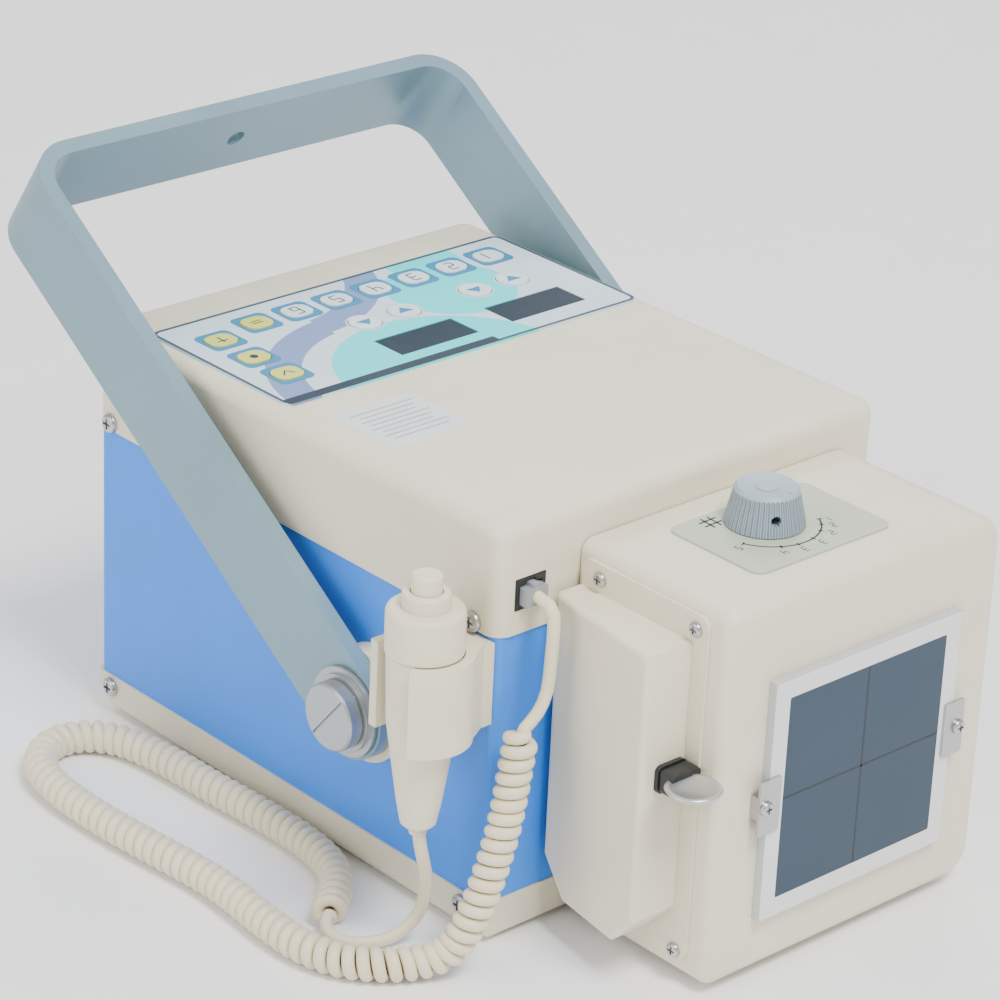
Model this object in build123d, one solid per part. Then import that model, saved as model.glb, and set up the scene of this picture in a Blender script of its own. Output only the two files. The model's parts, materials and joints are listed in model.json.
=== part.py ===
from build123d import *
import os
from math import cos, hypot, pi, radians, sin, tan

# A portable x-ray unit: cabinet, carry handle, hand switch on a curly cord, and a collimator on its front.
# Millimetres. +Z is up, the beam leaves along -Y, +X is to the right seen from the panel side's back.
# The origin is the middle of the cabinet's footprint, on the surface that the unit stands on.

# ---- driving dimensions --------------------------------------------------------------------------------
FOOT_H = 3.0
CAB_W = 190.0
CAB_L = 235.0
CAB_TOP = 168.0
TRAY_TOP = 17.2
SPLIT_Z = 125.0
WALL = 2.5
LIP = 1.8
LIP_H = 10.0
FIT = 0.2
MOVE_GAP = 0.35

FRONT_Y = -CAB_L / 2
REAR_Y = CAB_L / 2
SHELL_X = CAB_W / 2 - 0.5
SHELL_Y = CAB_L / 2 - 0.5
TRAY_X = CAB_W / 2 + 0.3
TRAY_Y = CAB_L / 2 + 0.2
COVER_X = CAB_W / 2 + 0.5
COVER_Y = CAB_L / 2 + 0.5

# membrane panel on the cover's flat top
PANEL_X0, PANEL_X1 = -88.0, 91.0
PANEL_Y0, PANEL_Y1 = 8.8, 94.2
PANEL_T = 0.8
KEY_TRAVEL = 0.35
KEY_PITCH = 20.0
KEY_ROW_Y = 78.0
ARROW_Y = 53.5
ARROW_R = 6.6
DISPLAY_W, DISPLAY_D = 39.0, 17.0
DISPLAY_Y = 29.0
BOARD_TOP = 157.2

# power switch on the rear wall
ROCKER_Y = SHELL_Y - 3.0
ROCKER_Z = 63.0

# beam axis and collimator
BEAM_X = 12.0
BEAM_Z = 74.5
COL_X0, COL_X1 = -57.0, 83.0
COL_Y0, COL_Y1 = FRONT_Y - 77.0, FRONT_Y - 1.1
COL_Z0, COL_Z1 = 4.0, 154.0
COL_WALL = 3.0
WINDOW_SIZE = 96.0
WINDOW_T = 3.5
PORT_SIZE = 84.0
FLANGE_T = 1.5
BLADE_T = 3.0

# carry handle
PIVOT_Y = FRONT_Y + 63.2
PIVOT_Z = 75.0
HANDLE_TILT = 33.6
HANDLE_HALF = 109.5
HANDLE_T = 6.5
HANDLE_W = 38.0
HANDLE_REACH = 255.0
HANDLE_BEND = 20.5
PIVOT_R = 6.0
HANG_HOLE_R = 4.0

# hand switch, standing in its clip on the cabinet's side
SWITCH_X, SWITCH_Y = -120.0, FRONT_Y + 10.0
CLIP_Z0, CLIP_Z1 = 91.0, 125.0
CLIP_R = 14.5
CLIP_T = 3.8
COLLAR_R = 14.3
BUTTON_TRAVEL = 3.0

# jack and cord
JACK_X, JACK_Z = -80.6, 140.6
CORD_D = 4.8
COIL_D = 13.5

# knob on the collimator's top
KNOB_X, KNOB_Y = 4.5, FRONT_Y - 31.0
DIAL_T = 0.8

# tape measure on the collimator's side
TAPE_X, TAPE_Z = -65.0, 88.2
REEL_R = 17.0
TAPE_W = 8.6


# ---- small helpers -------------------------------------------------------------------------------------
def block(x0, x1, y0, y1, z0, z1):
    """A box between two corners."""
    centre = ((x0 + x1) / 2, (y0 + y1) / 2, (z0 + z1) / 2)
    return Pos(*centre) * Box(abs(x1 - x0), abs(y1 - y0), abs(z1 - z0))


def rod(start, direction, radius, length):
    """A cylinder that starts at a point and runs along a direction."""
    plane = Plane(origin=start, z_dir=direction)
    return extrude(plane * Circle(radius), length)


def tube(start, direction, outer, inner, length):
    return rod(start, direction, outer, length) - rod(start, direction, inner, length)


def ring_wall(half_x, half_y, thickness, radius, z0, z1):
    """An upright rectangular tube with rounded corners, centred on the cabinet."""
    outer = RectangleRounded(2 * half_x, 2 * half_y, radius)
    inner_r = max(radius - thickness, 0.5)
    inner = RectangleRounded(2 * (half_x - thickness), 2 * (half_y - thickness), inner_r)
    return Pos(0, 0, z0) * extrude(outer - inner, z1 - z0)


def pan_screw(seat, direction, head_r, head_h, shank_r, shank_l):
    """A pan head screw with a cross recess. The head stands on seat and points along direction."""
    plane = Plane(origin=seat, z_dir=direction)
    head = extrude(Circle(head_r), head_h)
    head = fillet(head.edges().sort_by(Axis.Z)[-1], head_h * 0.7)
    slot = Pos(0, 0, head_h) * Box(head_r * 1.1, head_r * 0.28, head_h * 1.1)
    head = head - slot - Rot(0, 0, 90) * slot
    shank = Pos(0, 0, -shank_l) * extrude(Circle(shank_r), shank_l)
    return plane * (head + shank)


def group(shapes):
    return Compound(children=list(shapes))


# ---- cabinet -------------------------------------------------------------------------------------------
COVER_SCREW_Z = SPLIT_Z + 3.3
TRAY_SCREW_Z = 12.3
SCREW_YS = (FRONT_Y + 12.0, REAR_Y - 9.5)
SCREW_R = 2.0


def side_holes(z, radius, half):
    """The four cross holes for the cabinet's side screws at one height."""
    holes = []
    for y in SCREW_YS:
        for side in (-1, 1):
            holes.append(rod((side * (half + 3), y, z), (-side, 0, 0), radius, 12))
    return holes


def tray_block(half_x, half_y, z0, z1, bend, corner):
    """A block with one large bend along its rear bottom edge and small upright corners."""
    body = block(-half_x, half_x, -half_y, half_y, z0, z1)
    bottom_edges = body.faces().sort_by(Axis.Z)[0].edges().filter_by(Axis.X)
    body = fillet(bottom_edges.sort_by(Axis.Y)[-1], bend)
    return fillet(body.edges().filter_by(Axis.Z), corner)


def bottom_tray():
    """The shallow tray under the cabinet, with a large bend along its rear bottom edge."""
    tray = tray_block(TRAY_X, TRAY_Y, FOOT_H, TRAY_TOP, 11, 3)
    hollow = tray_block(TRAY_X - 2.0, TRAY_Y - 2.0, FOOT_H + 2, TRAY_TOP + 12, 9.5, 1.5)
    tray = tray - hollow
    for hole in side_holes(TRAY_SCREW_Z, SCREW_R + 0.1, TRAY_X):
        tray = tray - hole
    return tray


def body_shell():
    """The coloured wall of the cabinet, a ring with a lip that goes up into the cover and down into the tray."""
    shell = ring_wall(SHELL_X, SHELL_Y, WALL, 4.0, TRAY_TOP, SPLIT_Z)
    upper_x, upper_y = COVER_X - WALL - FIT, COVER_Y - WALL - FIT
    shell += ring_wall(upper_x, upper_y, LIP, 2.5, SPLIT_Z - 6, SPLIT_Z + LIP_H)
    lower_x = TRAY_X - 2.0 - FIT
    for side in (-1, 1):
        shell += block(side * lower_x, side * (lower_x - LIP), -100, 100, TRAY_TOP - 9, TRAY_TOP + 6)
    for hole in side_holes(COVER_SCREW_Z, SCREW_R + 0.1, COVER_X):
        shell = shell - hole
    for hole in side_holes(TRAY_SCREW_Z, SCREW_R + 0.1, TRAY_X):
        shell = shell - hole
    beam = rod((BEAM_X, FRONT_Y - 5, BEAM_Z), (0, 1, 0), 28, 12)
    rear = block(-58.3, -29.7, REAR_Y - 8, REAR_Y + 5, 52.7, 73.3)
    rear += block(-18.9, -5.1, REAR_Y - 8, REAR_Y + 5, 55.9, 70.1)
    for i in range(7):
        rear += block(24, 60, REAR_Y - 8, REAR_Y + 5, 45 + 7 * i, 48 + 7 * i)
    jack = block(JACK_X - 8.5, JACK_X + 8.5, FRONT_Y - 5, FRONT_Y + 10, SPLIT_Z, SPLIT_Z + 20)
    shell = shell - beam - rear - jack
    for side in (-1, 1):
        shell = shell - rod((side * (SHELL_X + 5), PIVOT_Y, PIVOT_Z), (-side, 0, 0), PIVOT_R + 0.1, 14)
    return shell


def key_places():
    """The membrane keys: name, centre and kind."""
    places = []
    for i in range(6):
        places.append((f"key_{i + 1}", 72.2 - KEY_PITCH * i, KEY_ROW_Y, "pad"))
    places.append(("key_store", 72.2 - KEY_PITCH * 6, KEY_ROW_Y, "pad"))
    places.append(("key_power", -69.9, 72.2, "pad"))
    places.append(("key_lamp", -69.9, 52.0, "pad"))
    places.append(("key_mode", -69.4, 32.6, "pad"))
    for name, x in (("kv", -13.6), ("mas", 43.4)):
        places.append((f"key_{name}_down", x, ARROW_Y, "arrow"))
        places.append((f"key_{name}_up", x + KEY_PITCH, ARROW_Y, "arrow"))
    return places


def key_outline(kind, grow=0.0):
    if kind == "arrow":
        return Circle(ARROW_R + grow)
    return RectangleRounded(12.4 + 2 * grow, 10.6 + 2 * grow, 4.2 + grow)


def upper_cover():
    """The moulded top cover, with soft edges, display windows, key holes and the jack's cut-out."""
    cover = block(-COVER_X, COVER_X, -COVER_Y, COVER_Y, SPLIT_Z, CAB_TOP)
    cover = fillet(cover.edges().filter_by(Axis.Z), 7)
    cover = fillet(cover.faces().sort_by(Axis.Z)[-1].edges(), 5.5)
    inner_x, inner_y = COVER_X - WALL, COVER_Y - WALL
    hollow = block(-inner_x, inner_x, -inner_y, inner_y, SPLIT_Z - 5, CAB_TOP - WALL)
    hollow = fillet(hollow.edges().filter_by(Axis.Z), 2.5)
    hollow = fillet(hollow.faces().sort_by(Axis.Z)[-1].edges(), 2)
    cover = cover - hollow
    for x in (-3.2, 53.4):
        cover = cover - Pos(x, DISPLAY_Y, CAB_TOP) * Box(DISPLAY_W + 0.6, DISPLAY_D + 0.6, 20)
    for name, x, y, kind in key_places():
        cover = cover - Pos(x, y, CAB_TOP) * Cylinder(3.2, 20)
    cover = cover - block(JACK_X - 7.2, JACK_X + 7.2, FRONT_Y - 5, FRONT_Y + 10, JACK_Z - 6.2, JACK_Z + 6.2)
    for hole in side_holes(COVER_SCREW_Z, SCREW_R + 0.1, COVER_X):
        cover = cover - hole
    return cover


def rubber_feet():
    """Three anti-slip strips across the tray's underside."""
    strips = []
    for y in (-90, 0, 90):
        strip = Pos(0, y, FOOT_H / 2) * Box(150, 14, FOOT_H)
        strip = fillet(strip.edges().filter_by(Axis.Z), 5)
        strips.append(fillet(strip.faces().sort_by(Axis.Z)[0].edges(), 1))
    return group(strips)


def cabinet_screws():
    screws = []
    for y in SCREW_YS:
        for side in (-1, 1):
            for z, half in ((COVER_SCREW_Z, COVER_X), (TRAY_SCREW_Z, TRAY_X)):
                screws.append(pan_screw((side * half, y, z), (side, 0, 0), 4.0, 2.4, SCREW_R, 7))
    return group(screws)


# ---- panel ---------------------------------------------------------------------------------------------
def overlay_panel():
    """The membrane sheet, with an opening round each key and each display."""
    centre = ((PANEL_X0 + PANEL_X1) / 2, (PANEL_Y0 + PANEL_Y1) / 2)
    sheet = Pos(*centre) * RectangleRounded(PANEL_X1 - PANEL_X0, PANEL_Y1 - PANEL_Y0, 4)
    for name, x, y, kind in key_places():
        sheet = sheet - Pos(x, y) * key_outline(kind, MOVE_GAP)
    for x in (-3.2, 53.4):
        sheet = sheet - Pos(x, DISPLAY_Y) * Rectangle(DISPLAY_W + 0.3, DISPLAY_D + 0.3)
    return Pos(0, 0, CAB_TOP) * extrude(sheet, PANEL_T)


def membrane_key(x, y, kind):
    """A raised key pad on a stem that reaches down to its switch on the board."""
    base = CAB_TOP + KEY_TRAVEL + 0.1
    pad = Pos(x, y, base) * extrude(key_outline(kind), 0.8)
    stem = Pos(x, y, base - 5.5) * extrude(Circle(2.5), 5.5)
    return pad + stem


def digit_displays():
    """Two display modules, which stand on the board and show through the panel."""
    modules = []
    for x in (-3.2, 53.4):
        modules.append(block(x - DISPLAY_W / 2, x + DISPLAY_W / 2, DISPLAY_Y - DISPLAY_D / 2,
                             DISPLAY_Y + DISPLAY_D / 2, BOARD_TOP, CAB_TOP + PANEL_T - 0.3))
    return group(modules)


def control_board():
    """The panel's circuit board, with a push switch under each key, on four posts below the cover."""
    solids = [block(-88, 88, 14, 96, BOARD_TOP - 1.6, BOARD_TOP)]
    for name, x, y, kind in key_places():
        body = Pos(x, y, BOARD_TOP + 1.75) * Box(6, 6, 3.5)
        solids.append(body + Pos(x, y, BOARD_TOP + 4) * Cylinder(1.7, 1.4))
    for x in (-84, 84):
        for y in (18, 92):
            solids.append(Pos(x, y, (BOARD_TOP + CAB_TOP - WALL) / 2) * Cylinder(2.5, CAB_TOP - WALL - BOARD_TOP))
    return group(solids)


# ---- inside the cabinet --------------------------------------------------------------------------------
def hv_tank():
    """The oil-filled tank round the x-ray tube, closed, with a beam port in its front."""
    y0 = FRONT_Y + 5
    tank = block(BEAM_X - 70, BEAM_X + 70, y0, y0 + 82, 24, 116)
    tank = fillet(tank.edges().filter_by(Axis.Z), 6)
    hollow = block(BEAM_X - 67, BEAM_X + 67, y0 + 3, y0 + 79, 27, 113)
    port = rod((BEAM_X, y0 - 1, BEAM_Z), (0, 1, 0), 20, 3)
    return tank - hollow - port


def xray_tube():
    """The glass envelope, with the target on its copper stem at one end and the filament cup at the other."""
    y, x0 = FRONT_Y + 46, BEAM_X - 58
    outer = rod((x0, y, BEAM_Z), (1, 0, 0), 19, 112)
    outer = fillet(outer.edges(), 6)
    inner = rod((x0 + 2, y, BEAM_Z), (1, 0, 0), 17.4, 108)
    inner = fillet(inner.edges(), 5)
    stem = rod((x0 + 2, y, BEAM_Z), (1, 0, 0), 8, 50)
    stem = stem - Pos(x0 + 54, y, BEAM_Z) * Rot(0, 0, 19) * Box(12, 40, 40)
    cup = rod((x0 + 72, y, BEAM_Z), (1, 0, 0), 8, 38) - rod((x0 + 71, y, BEAM_Z), (1, 0, 0), 4, 4)
    return group([outer - inner, stem, cup])


def power_board():
    """The inverter: a board with its transformer, capacitors and heat sink."""
    y0, y1 = -22, 104
    solids = [block(-80, 80, y0, y1, 24, 25.6)]
    for i in range(3):
        solids.append(Pos(-60 + 28 * i, 10, 25.6 + 22) * Cylinder(11, 44))
    core = block(20, 70, 0, 44, 25.6, 66) - block(32, 58, -1, 45, 36, 56)
    solids.append(core)
    sink = block(-70, -10, 50, 90, 25.6, 30)
    for i in range(8):
        sink += block(-70 + 8 * i, -68 + 8 * i, 50, 90, 30, 52)
    solids.append(sink)
    return group(solids)


def mains_inlet():
    """A shrouded three-pin appliance inlet in the rear wall."""
    flange = block(-61, -27, SHELL_Y, SHELL_Y + 2.2, 50, 76)
    flange = fillet(flange.edges().filter_by(Axis.Y), 2)
    body = block(-58, -30, SHELL_Y - 16, SHELL_Y + 0.1, 53, 73)
    inlet = flange + body - block(-56, -32, SHELL_Y - 13, SHELL_Y + 5, 55.4, 70.8)
    for x, z in ((-51, 61), (-44, 65), (-37, 61)):
        inlet += block(x - 1, x + 1, SHELL_Y - 14, SHELL_Y - 3, z - 2, z + 2)
    return inlet


def rocker_frame():
    """The power switch's frame, with a pivot pin across it."""
    frame = block(-21, -3, SHELL_Y, SHELL_Y + 1.4, 53, 73)
    frame = fillet(frame.edges().filter_by(Axis.Y), 1.5)
    frame += block(-18.6, -5.4, SHELL_Y - 12, SHELL_Y + 0.1, 56.2, 69.8)
    frame -= block(-17.2, -6.8, SHELL_Y - 10.5, SHELL_Y + 5, 57.2, 68.8)
    return frame + rod((-18, ROCKER_Y, ROCKER_Z), (1, 0, 0), 0.8, 12)


def power_rocker():
    """The power switch's rocker: two slopes that meet over the pivot."""
    y = SHELL_Y - ROCKER_Y
    points = [(-5.2, y + 0.2), (-5.2, y + 2.4), (0, y + 0.9), (5.2, y + 2.4), (5.2, y + 0.2), (1.6, -2), (-1.6, -2)]
    profile = make_face(Polyline(*points, close=True)) - Circle(0.85)
    plane = Plane(origin=(-16.8, ROCKER_Y, ROCKER_Z), x_dir=(0, 0, 1), z_dir=(1, 0, 0))
    return plane * (Rot(0, 0, 0) * extrude(mirror(profile, about=Plane.XZ), 9.6))


# ---- handle --------------------------------------------------------------------------------------------
HANDLE_DIR = Vector(0, cos(radians(HANDLE_TILT)), sin(radians(HANDLE_TILT)))
HANDLE_NORMAL = Vector(0, -sin(radians(HANDLE_TILT)), cos(radians(HANDLE_TILT)))
HANDLE_PLANE = Plane(origin=(0, PIVOT_Y, PIVOT_Z), x_dir=(1, 0, 0), z_dir=HANDLE_NORMAL)


def carry_handle():
    """A flat bar bent to a U. Its ends are round about the pivots, and its crossbar has a hole in the middle."""
    half, reach = HANDLE_HALF, HANDLE_REACH
    outer = Rectangle(2 * half, 2 * reach)
    outer = fillet(outer.vertices(), HANDLE_BEND)
    inner = Rectangle(2 * (half - HANDLE_T), 2 * (reach - HANDLE_T))
    inner = fillet(inner.vertices(), HANDLE_BEND - HANDLE_T)
    frame = (outer - inner) & (Pos(0, (reach - HANDLE_W / 2) / 2 + 5) * Rectangle(3 * half, reach + HANDLE_W / 2 + 10))
    bar = extrude(frame, HANDLE_W / 2, both=True)
    rounded = Pos(reach / 2, 0) * Rectangle(reach, HANDLE_W) + Circle(HANDLE_W / 2)
    rounded += Pos(reach, 0) * Rectangle(60, HANDLE_W)
    bar = bar & extrude(Plane.YZ * rounded, half + 5, both=True)
    bar = bar - rod((-half - 5, 0, 0), (1, 0, 0), PIVOT_R + 0.05, 2 * half + 10)
    bar = bar - rod((0, reach - 20, 0), (0, 1, 0), HANG_HOLE_R, 30)
    return Plane(origin=(0, PIVOT_Y, PIVOT_Z), x_dir=(1, 0, 0), z_dir=HANDLE_NORMAL) * bar


def pivot_bosses():
    """The round spacers between the cabinet's sides and the handle's arms."""
    bosses = []
    for side in (-1, 1):
        length = HANDLE_HALF - HANDLE_T - 0.3 - SHELL_X
        boss = tube((side * SHELL_X, PIVOT_Y, PIVOT_Z), (side, 0, 0), 22, PIVOT_R + 0.1, length)
        bosses.append(boss)
    return group(bosses)


def pivot_bolts():
    """Each side's slotted pivot bolt, on its stepped washer."""
    solids = []
    for side in (-1, 1):
        face = side * (HANDLE_HALF + 0.3)
        washer = tube((face, PIVOT_Y, PIVOT_Z), (side, 0, 0), 17.5, PIVOT_R + 0.05, 1.6)
        washer += tube((face + side * 1.6, PIVOT_Y, PIVOT_Z), (side, 0, 0), 15, PIVOT_R + 0.05, 1.2)
        head_at = face + side * 2.8
        head = rod((head_at, PIVOT_Y, PIVOT_Z), (side, 0, 0), 13.2, 6.2)
        head = chamfer(head.edges(), 0.8)
        slot = Pos(head_at + side * 6.2, PIVOT_Y, PIVOT_Z) * Rot(-50, 0, 0) * Box(1.6, 24, 0.9)
        shank = rod((head_at, PIVOT_Y, PIVOT_Z), (-side, 0, 0), PIVOT_R, head_at * side - SHELL_X + 12)
        solids.append(head + shank - slot)
        solids.append(washer)
    return group(solids)


# ---- hand switch ---------------------------------------------------------------------------------------
def holder_clip():
    """A clip on the cabinet's side: a thick base, a front jaw that wraps the barrel, and a straight rear jaw."""
    outer_r = CLIP_R + CLIP_T
    wall_x, base_x = -SHELL_X, -SHELL_X - 11
    y0, y1 = FRONT_Y + 1.5, SWITCH_Y + outer_r
    tip = radians(212)
    gap = make_face(Polyline((0, 0), (0, 40), (-40, 40), (40 * cos(tip), 40 * sin(tip)), close=True))
    profile = Pos(SWITCH_X, SWITCH_Y) * (Circle(outer_r) - gap)
    profile += Pos((wall_x + base_x) / 2, (y0 + y1) / 2) * Rectangle(11, y1 - y0)
    jaw_l = wall_x - SWITCH_X + 9
    profile += Pos(wall_x - jaw_l / 2, y1 - CLIP_T / 2) * Rectangle(jaw_l, CLIP_T)
    arm = Polyline((SWITCH_X + 3, SWITCH_Y - outer_r + 0.3), (wall_x - 5, y0), (base_x, SWITCH_Y),
                   (SWITCH_X + 8, SWITCH_Y - 8), close=True)
    profile = profile + make_face(arm) - Pos(SWITCH_X, SWITCH_Y) * Circle(CLIP_R)
    profile = profile - make_face(Pos(SWITCH_X, SWITCH_Y) * Polyline((0, 0), (0, outer_r - CLIP_T), (-40, outer_r - CLIP_T),
                                  (40 * cos(tip), 40 * sin(tip)), close=True))
    clip = Pos(0, 0, CLIP_Z0) * extrude(profile, CLIP_Z1 - CLIP_Z0)
    return clip - block(-99.5, -94, y0 - 5, y1 + 5, CLIP_Z1 - 1.6, CLIP_Z1 + 1)


def switch_barrel():
    """The hand switch's body, which narrows to the cord."""
    side = [(5.0, 55.0), (6.6, 56.6), (8.2, 65.0), (11.3, 86.4), (12.9, 98.0), (13.7, 124.9)]
    line = Polyline((2.45, 55.0), *side, (2.45, 124.9), close=True)
    barrel = revolve(Plane.XZ * make_face(line), Axis.Z)
    bore = Pos(0, 0, 112) * Cylinder(8.2, 30)
    return Pos(SWITCH_X, SWITCH_Y, 0) * (barrel - bore)


def switch_collar():
    """The wide cap of the hand switch, with a bore for the button's sleeve."""
    collar = Pos(0, 0, 133.75) * Cylinder(COLLAR_R, 17.5)
    collar = fillet(collar.edges().sort_by(Axis.Z)[-1], 2.2)
    collar = fillet(collar.edges().sort_by(Axis.Z)[0], 0.8)
    return Pos(SWITCH_X, SWITCH_Y, 0) * (collar - Pos(0, 0, 133.75) * Cylinder(8.9, 30))


def switch_sleeve():
    """The sleeve that guides the push button."""
    sleeve = Pos(0, 0, 138) * Cylinder(8.8, 20.8)
    sleeve = fillet(sleeve.edges().sort_by(Axis.Z)[-1], 1.2)
    bore = Pos(0, 0, 140) * Cylinder(6.0, 30)
    stop = Pos(0, 0, 132) * Cylinder(7.2, 15)
    return Pos(SWITCH_X, SWITCH_Y, 0) * (sleeve - bore - stop)


def switch_button():
    """The push button, with the flange that keeps it in the sleeve."""
    cap = Pos(0, 0, 147.0) * Cylinder(5.6, 16)
    cap = fillet(cap.edges().sort_by(Axis.Z)[-1], 1.0)
    flange = Pos(0, 0, 137.6) * Cylinder(6.8, 3)
    return Pos(SWITCH_X, SWITCH_Y, 0) * (cap + flange)


def button_spring():
    """The return spring under the button."""
    wire = 0.9
    path = Pos(0, 0, 126.5) * Helix(pitch=1.7, height=8.5, radius=4.2)
    section = Plane(origin=path @ 0, z_dir=path % 0) * Circle(wire / 2)
    return Pos(SWITCH_X, SWITCH_Y, 0) * sweep(section, path=path, is_frenet=True)


# ---- jack and cord -------------------------------------------------------------------------------------
JACK_Y = -COVER_Y


def switch_jack():
    """The modular jack in the cover's front face, open towards the front."""
    body = block(JACK_X - 7.0, JACK_X + 7.0, JACK_Y - 0.3, JACK_Y + 14, JACK_Z - 6, JACK_Z + 6)
    mouth = block(JACK_X - 5.2, JACK_X + 5.2, JACK_Y - 1, JACK_Y + 11, JACK_Z - 4.2, JACK_Z + 3.6)
    latch = block(JACK_X - 2, JACK_X + 2, JACK_Y - 1, JACK_Y + 11, JACK_Z + 3.5, JACK_Z + 5)
    return body - mouth - latch


def cord_plug():
    """The clear modular plug in the jack, with its latch above."""
    body = block(JACK_X - 5.0, JACK_X + 5.0, JACK_Y - 4, JACK_Y + 9, JACK_Z - 4.0, JACK_Z + 2.6)
    latch = block(JACK_X - 1.6, JACK_X + 1.6, JACK_Y - 3, JACK_Y + 6, JACK_Z + 2.6, JACK_Z + 4.2)
    return body + latch


# The cord's route, point by point: down from the jack, along the coil, and up to the hand switch.
FLOOR_COIL = COIL_D / 2 + 0.05
LEAD_POINTS = [
    (JACK_X, JACK_Y - 4, JACK_Z - 0.7),
    (JACK_X, JACK_Y - 12, JACK_Z - 0.7),
    (JACK_X - 1.1, JACK_Y - 14.5, JACK_Z - 7.5),
    (JACK_X - 1.3, JACK_Y - 13.8, JACK_Z - 22),
    (JACK_X - 1.6, JACK_Y - 13.4, JACK_Z - 34),
    (JACK_X - 5.4, JACK_Y - 12.8, JACK_Z - 42),
    (JACK_X - 12.6, JACK_Y - 12.6, JACK_Z - 46.4),
]
COIL_POINTS = [
    (-93.2, -130.7, 94.2),
    (-96.6, -131.3, 77),
    (-101.0, -132.4, 59),
    (-107.6, -132.6, 40.5),
    (-113.6, -131.0, 24),
    (-118.6, -126.6, 11.0),
    (-127.0, -121.0, FLOOR_COIL),
    (-139.5, -114.0, FLOOR_COIL),
    (-150.2, -101.6, FLOOR_COIL),
    (-155.0, -84.0, FLOOR_COIL),
    (-153.8, -60.0, FLOOR_COIL),
    (-150.8, -33.0, FLOOR_COIL),
    (-153.6, -3.0, FLOOR_COIL),
    (-156.6, 28.0, FLOOR_COIL),
    (-156.8, 58.0, FLOOR_COIL),
    (-152.0, 80.0, FLOOR_COIL),
    (-139.0, 92.5, FLOOR_COIL),
    (-123.0, 91.0, FLOOR_COIL),
    (-112.0, 77.0, FLOOR_COIL),
    (-108.6, 52.0, FLOOR_COIL),
    (-107.8, 24.0, FLOOR_COIL),
    (-105.8, -4.0, FLOOR_COIL),
    (-105.6, -30.0, FLOOR_COIL),
    (-109.6, -50.0, FLOOR_COIL),
    (-119.5, -64.0, FLOOR_COIL),
    (-134.0, -75.0, FLOOR_COIL),
]
SWITCH_LEAD_POINTS = [
    (-134.0, -75.0, FLOOR_COIL),
    (-138.6, -79.4, 5.0),
    (-138.5, -86.0, 3.0),
    (-131.5, -93.0, 2.6),
    (-121.5, -97.6, 3.4),
    (-113.6, -101.0, 10.0),
    (-112.4, -104.6, 21.0),
    (-114.6, -106.8, 34.0),
    (-118.6, -107.4, 45.0),
    (SWITCH_X, SWITCH_Y, 55.0),
]


def corner_radii(points):
    """Each arc is as large as the two runs beside it allow."""
    radii = []
    for a, b, c in zip(points, points[1:], points[2:]):
        into, out = Vector(*b) - Vector(*a), Vector(*c) - Vector(*b)
        turn = into.get_angle(out)
        radii.append(0.45 * min(into.length, out.length) / tan(radians(turn) / 2))
    return radii


def cord_tube(name, points, diameter):
    """A plain tube along straight runs joined by tangent arcs."""
    radii = corner_radii(points)
    path = FilletPolyline(*points, radius=radii)
    section = Plane(origin=path @ 0, z_dir=path % 0) * Circle(diameter / 2)
    solid = sweep(section, path=path)
    expected = pi * diameter**2 / 4 * path.length
    print(name, "length", round(path.length, 1), "smallest radius", round(min(radii), 1),
          "volume over section x length", round(solid.volume / expected, 4))
    return solid


# ---- collimator ----------------------------------------------------------------------------------------
def collimator_housing():
    """The collimator's moulded box: large soft edges, open at the back, with a square port in its front."""
    box = block(COL_X0, COL_X1, COL_Y0, COL_Y1, COL_Z0, COL_Z1)
    left = box.edges().filter_by(Axis.Y).filter_by(lambda e: e.center().X < 0)
    box = fillet(left, 5)
    right = box.edges().filter_by(Axis.Y).filter_by(lambda e: e.center().X > COL_X1 - 1)
    box = fillet(right, 12)
    box = fillet(box.faces().sort_by(Axis.Y)[0].edges(), 4.9)
    w = COL_WALL
    hollow = block(COL_X0 + w, COL_X1 - w, COL_Y0 + w, COL_Y1 + 5, COL_Z0 + w, COL_Z1 - w)
    hollow = fillet(hollow.edges().filter_by(Axis.Y), 3)
    box = box - hollow
    h = PORT_SIZE / 2
    box = box - block(BEAM_X - h, BEAM_X + h, COL_Y0 - 5, COL_Y0 + 10, BEAM_Z - h, BEAM_Z + h)
    box = box - rod((KNOB_X, KNOB_Y, COL_Z1 + 5), (0, 0, -1), 3.3, 20)
    for start, direction in small_screw_places():
        box = box - rod(start, direction, 1.5, 12) - rod(start, -direction, 1.5, 12)
    return box


FLANGE_Y0, FLANGE_Y1 = FRONT_Y - 67, FRONT_Y - 3.5
FLANGE_Z0, FLANGE_Z1 = 11.0, 149.0
REEL_Y = FRONT_Y - 33
REEL_Z = TAPE_Z - REEL_R - 0.9


def side_flange():
    """The thin plate on the collimator's side that carries the tape housing."""
    x0 = COL_X0 - FLANGE_T
    plate = block(x0, COL_X0, FLANGE_Y0, FLANGE_Y1, FLANGE_Z0, FLANGE_Z1)
    plate = fillet(plate.edges().filter_by(Axis.X), 4)
    for start, direction in small_screw_places()[:4]:
        plate = plate - rod(start, -direction, 1.5, 5)
    return plate + rod((x0 - 10.6, REEL_Y, REEL_Z), (1, 0, 0), 3.0, 10.7)


def small_screw_places():
    """Four seats on the side flange, then one on each window clip, each with its outward direction."""
    places = []
    for y in (FRONT_Y - 13, FRONT_Y - 61.5):
        for z in (FLANGE_Z0 + 3.6, FLANGE_Z1 - 5.5):
            places.append((Vector(COL_X0 - FLANGE_T, y, z), Vector(-1, 0, 0)))
    for side in (-1, 1):
        x = BEAM_X + side * (WINDOW_SIZE / 2 + 2.1)
        places.append((Vector(x, COL_Y0 - WINDOW_T - 1.2, BEAM_Z), Vector(0, -1, 0)))
    return places


def small_screws():
    """The flange's four screws, and one through each window clip."""
    return group(pan_screw(start, direction, 2.9, 1.8, 1.4, 8) for start, direction in small_screw_places())


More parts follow.
